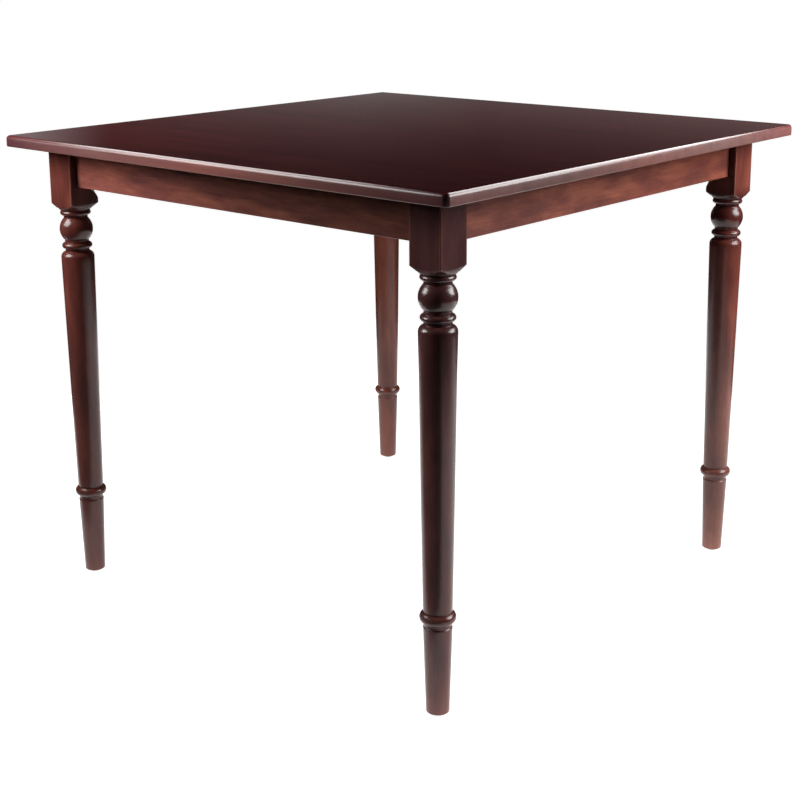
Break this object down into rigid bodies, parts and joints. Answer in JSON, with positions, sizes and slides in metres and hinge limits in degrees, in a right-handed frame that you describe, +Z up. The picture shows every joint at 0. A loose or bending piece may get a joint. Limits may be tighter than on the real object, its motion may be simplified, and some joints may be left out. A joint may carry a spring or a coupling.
{
  "type": "square dining table",
  "caption": "Square dining table with a thin rounded top, set-back aprons and turned legs that carry a ball under a square block, bolted through corner blocks.",
  "frame": {"origin": "on the floor under the centre of the top", "axes": "+Z up; +X to the right and +Y to the back when the table is looked at from its front side"},
  "size_m": [0.9144, 0.9144, 0.75],
  "materials": {
    "stained_top": "dark brown stain under a satin lacquer",
    "stained_wood": "red-brown stain under a satin lacquer",
    "plain_wood": "sawn and sanded, without stain",
    "zinc_steel": "bright zinc plate",
    "nylon": "moulded, slightly polished by the floor"
  },
  "bodies": {
    "root": {"table_top": "stained_top", "front_apron": "stained_wood", "right_apron": "stained_wood", "back_apron": "stained_wood", "left_apron": "stained_wood", "front_left_leg": "stained_wood", "front_right_leg": "stained_wood", "back_right_leg": "stained_wood", "back_left_leg": "stained_wood", "front_left_corner_block": "plain_wood", "front_right_corner_block": "plain_wood", "back_right_corner_block": "plain_wood", "back_left_corner_block": "plain_wood", "hanger_bolts": "zinc_steel", "flat_washers": "zinc_steel", "spring_washers": "zinc_steel", "hex_nuts": "zinc_steel", "corner_block_screws": "zinc_steel", "front_cleat": "plain_wood", "right_cleat": "plain_wood", "back_cleat": "plain_wood", "left_cleat": "plain_wood", "cleat_side_screws": "zinc_steel", "cleat_top_screws": "zinc_steel", "front_left_glide": "nylon", "front_right_glide": "nylon", "back_right_glide": "nylon", "back_left_glide": "nylon", "glide_nails": "zinc_steel"}
  },
  "joints": []
}
